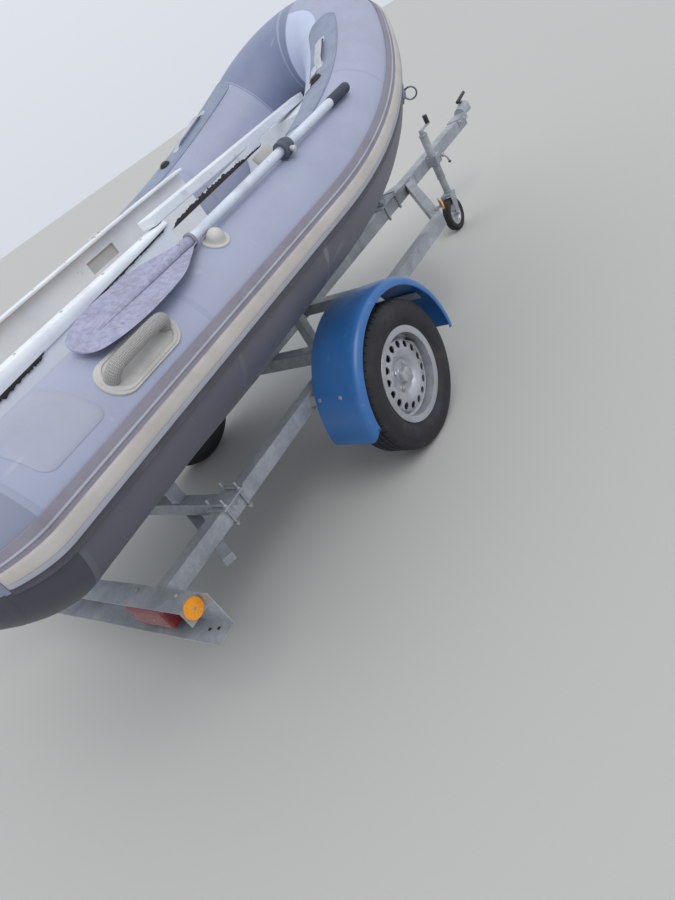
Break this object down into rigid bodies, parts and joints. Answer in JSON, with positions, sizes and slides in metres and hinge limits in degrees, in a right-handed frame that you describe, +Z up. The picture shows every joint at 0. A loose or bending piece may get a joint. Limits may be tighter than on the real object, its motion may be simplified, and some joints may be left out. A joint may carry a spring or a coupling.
{
  "type": "rigid inflatable boat on its road trailer",
  "caption": "Small rigid-hulled inflatable boat carried on a galvanised single-axle road trailer, with a stowed oar, blue mudguards, light board, jockey wheel and ball coupling.",
  "frame": {"origin": "bottom centre of the whole, on the ground the wheels stand on", "axes": "+X forward towards the coupling, +Y to port, +Z up"},
  "size_m": [4.4621, 1.6698, 1.5177],
  "materials": {
    "tube_fabric": "satin coated fabric",
    "strake_rubber": "satin, slightly dirty",
    "gelcoat": "worn gelcoat",
    "tan_floor": "matt, weathered",
    "pad_plastic": "matt",
    "cream_fitting": "moulded, matt",
    "oar_alloy": "satin anodised",
    "oar_black": "matt",
    "oar_grey": "weathered",
    "patch_grey": "grip textured",
    "ring_metal": "dull",
    "galvanised": "hot-dip galvanised",
    "guard_blue": "moulded, faded",
    "lamp_red": "gloss",
    "reflector_orange": "gloss",
    "rim_silver": "satin",
    "tyre_rubber": "matt",
    "roller_rubber": "matt",
    "bunk_cover": "covered timber"
  },
  "bodies": {
    "trailer": {"tube_starboard": "tube_fabric", "tube_port": "tube_fabric", "tube_bow": "tube_fabric", "stern_cones": "tube_fabric", "rub_strake": "strake_rubber", "hull": "gelcoat", "transom": "gelcoat", "transom_pads": "pad_plastic", "deck_floor": "tan_floor", "bow_locker": "gelcoat", "coaming_starboard": "gelcoat", "coaming_port": "gelcoat", "long_board": "gelcoat", "lifting_handles": "cream_fitting", "oarlock_blocks": "cream_fitting", "oar_holders": "cream_fitting", "oar_shaft": "oar_alloy", "oar_grip": "oar_black", "oar_collar": "oar_grey", "oar_blade": "oar_grey", "grip_patches": "patch_grey", "bow_handles": "patch_grey", "bow_valves": "oar_black", "tow_rings": "ring_metal", "bunks": "bunk_cover", "drawbar": "galvanised", "rail_port": "galvanised", "rail_starboard": "galvanised", "cross_members": "galvanised", "rail_clamps": "galvanised", "axle_beam": "galvanised", "axle_arms": "galvanised", "mudguards": "guard_blue", "guard_stays": "galvanised", "light_board": "galvanised", "rear_lamps": "lamp_red", "reflectors": "reflector_orange", "reflector_brackets": "galvanised", "coupling_head": "galvanised", "coupling_lever": "galvanised", "jockey_clamp": "galvanised", "jockey_tube": "galvanised", "jockey_crank": "galvanised", "keel_rollers": "roller_rubber", "roller_brackets": "galvanised", "bow_support": "galvanised", "bunk_posts": "galvanised"},
    "jockey_leg": {"jockey_stem": "galvanised"},
    "jockey_caster": {"jockey_fork": "galvanised"},
    "jockey_wheel": {"jockey_rim": "galvanised", "jockey_tyre": "tyre_rubber"},
    "wheel_port": {"rim_port": "rim_silver", "tyre_port": "tyre_rubber"},
    "wheel_starboard": {"rim_starboard": "rim_silver", "tyre_starboard": "tyre_rubber"}
  },
  "joints": [
    {"name": "wheel_port_spin", "type": "hinge", "parent": "trailer", "child": "wheel_port", "pos_m": [-0.63808, 0.7, 0.283], "axis": [0, 1, 0], "continuous": true},
    {"name": "wheel_starboard_spin", "type": "hinge", "parent": "trailer", "child": "wheel_starboard", "pos_m": [-0.63808, -0.7, 0.283], "axis": [0, 1, 0], "continuous": true},
    {"name": "jockey_lift", "type": "slide", "parent": "trailer", "child": "jockey_leg", "axis": [0, 0, 1], "range_m": [-0.1, 0.09]},
    {"name": "jockey_swivel", "type": "hinge", "parent": "jockey_leg", "child": "jockey_caster", "pos_m": [1.39192, -0.067, 0.224], "axis": [0, 0, 1], "continuous": true},
    {"name": "jockey_wheel_spin", "type": "hinge", "parent": "jockey_caster", "child": "jockey_wheel", "pos_m": [1.34992, -0.067, 0.1], "axis": [0, 1, 0], "continuous": true}
  ]
}
